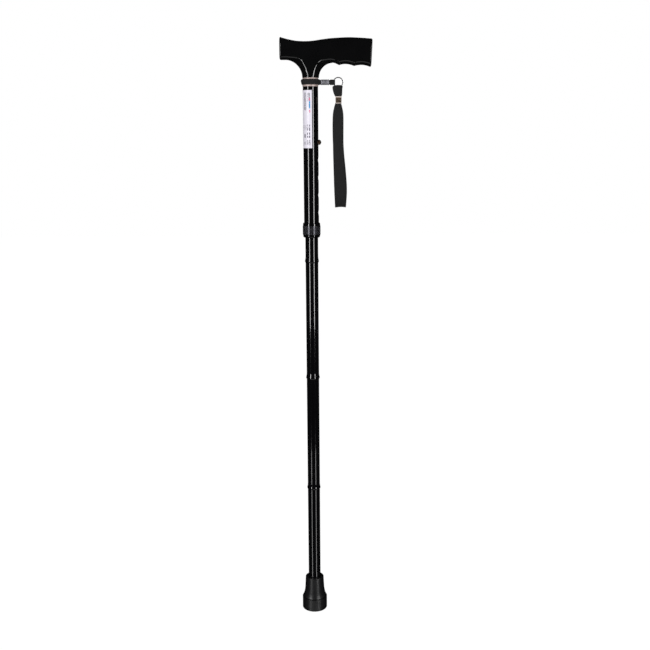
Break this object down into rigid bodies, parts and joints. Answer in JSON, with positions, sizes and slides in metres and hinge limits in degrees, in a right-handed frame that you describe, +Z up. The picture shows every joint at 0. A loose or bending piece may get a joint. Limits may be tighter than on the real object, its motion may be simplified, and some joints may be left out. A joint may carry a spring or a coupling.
{
  "type": "single point cane",
  "caption": "Folding walking cane with a T-shaped moulded handle, push-button height adjustment, pull-apart sections on an elastic cord, a rubber tip and a webbing wrist strap.",
  "frame": {"origin": "middle of the rubber tip's bottom face", "axes": "+Z up along the shaft to the handle, +X towards the long, finger-grooved end of the handle"},
  "size_m": [0.1319, 0.0394, 0.8846],
  "materials": {
    "handle_plastic": "satin moulded",
    "tube_enamel": "black gloss enamel",
    "bare_aluminium": "turned",
    "collar_brass": "satin",
    "button_brass": "polished",
    "nut_plastic": "ribbed",
    "thread_plastic": "satin",
    "clamp_nylon": "satin",
    "bush_nylon": "satin",
    "label_film": "printed film",
    "spring_steel": "blued",
    "pin_steel": "plain",
    "tip_rubber": "moulded",
    "elastic_braid": "braided",
    "webbing": "woven",
    "crimp_grey": "worn",
    "crimp_brass": "aged",
    "ring_chrome": "polished"
  },
  "bodies": {
    "upper": {"handle": "handle_plastic", "handle_pin": "pin_steel", "handle_collar": "collar_brass", "upper_tube": "tube_enamel", "tube_label": "label_film", "threaded_sleeve": "thread_plastic"},
    "clamp_ring": {"compression_ring": "clamp_nylon"},
    "nut": {"lock_nut": "nut_plastic"},
    "inner": {"inner_tube": "tube_enamel", "inner_tube_bush": "bush_nylon", "button_spring": "spring_steel", "cord_anchor_top": "bush_nylon", "cord_knot_top": "elastic_braid", "elastic_cord_1": "elastic_braid"},
    "button": {"snap_button": "button_brass"},
    "fold_1": {"joint_sleeve_1": "bare_aluminium", "fold_tube_1": "tube_enamel", "elastic_cord_2": "elastic_braid"},
    "fold_2": {"joint_sleeve_2": "bare_aluminium", "fold_tube_2": "tube_enamel", "elastic_cord_3": "elastic_braid"},
    "foot": {"joint_sleeve_3": "bare_aluminium", "foot_tube": "tube_enamel", "cord_anchor_foot": "bush_nylon", "cord_knot_foot": "elastic_braid", "rubber_tip": "tip_rubber", "tip_washer": "pin_steel"},
    "band": {"strap_band": "webbing", "band_crimp": "crimp_grey"},
    "ring": {"split_ring": "ring_chrome"},
    "strap": {"strap_tab": "webbing", "strap_crimp": "crimp_brass", "wrist_strap": "webbing"}
  },
  "joints": [
    {"name": "height_adjust", "type": "slide", "parent": "upper", "child": "inner", "axis": [0, 0, -1], "range_m": [0, 0.1016], "deforming": ["snap_button"]},
    {"name": "button_press", "type": "slide", "parent": "inner", "child": "button", "axis": [-0.9986, 0.0523, 0], "range_m": [0, 0.0054], "stiffness_N_per_m": 500, "springref_m": -0.005, "deforming": ["button_spring"]},
    {"name": "lock_nut_drop", "type": "slide", "parent": "upper", "child": "clamp_ring", "axis": [0, 0, -1], "range_m": [0, 0.002]},
    {"name": "lock_nut_turn", "type": "hinge", "parent": "clamp_ring", "child": "nut", "pos_m": [0, 0, 0.612], "axis": [0, 0, -1], "range_deg": [0, 360]},
    {"name": "pull_apart_1", "type": "slide", "parent": "inner", "child": "fold_1", "axis": [0, 0, -1], "range_m": [0, 0.055], "stiffness_N_per_m": 250, "springref_m": -0.06, "deforming": ["elastic_cord_1"]},
    {"name": "pull_apart_2", "type": "slide", "parent": "fold_1", "child": "fold_2", "axis": [0, 0, -1], "range_m": [0, 0.055], "stiffness_N_per_m": 250, "springref_m": -0.06, "deforming": ["elastic_cord_2"]},
    {"name": "pull_apart_3", "type": "slide", "parent": "fold_2", "child": "foot", "axis": [0, 0, -1], "range_m": [0, 0.055], "stiffness_N_per_m": 250, "springref_m": -0.06, "deforming": ["elastic_cord_3"]},
    {"name": "band_swivel", "type": "hinge", "parent": "upper", "child": "band", "pos_m": [0, 0, 0.8235], "axis": [0, 0, 1], "continuous": true},
    {"name": "ring_swing", "type": "hinge", "parent": "band", "child": "ring", "pos_m": [0.03325, 0, 0.8231], "axis": [0, 0, 1], "range_deg": [-45, 45]},
    {"name": "strap_swing", "type": "hinge", "parent": "ring", "child": "strap", "pos_m": [0.0399, 0, 0.81645], "axis": [1, 0, 0], "range_deg": [-75, 75]}
  ],
  "couplings": [
    {"joint": "lock_nut_turn", "follows": "lock_nut_drop", "rad_per_m": 3141.6}
  ]
}
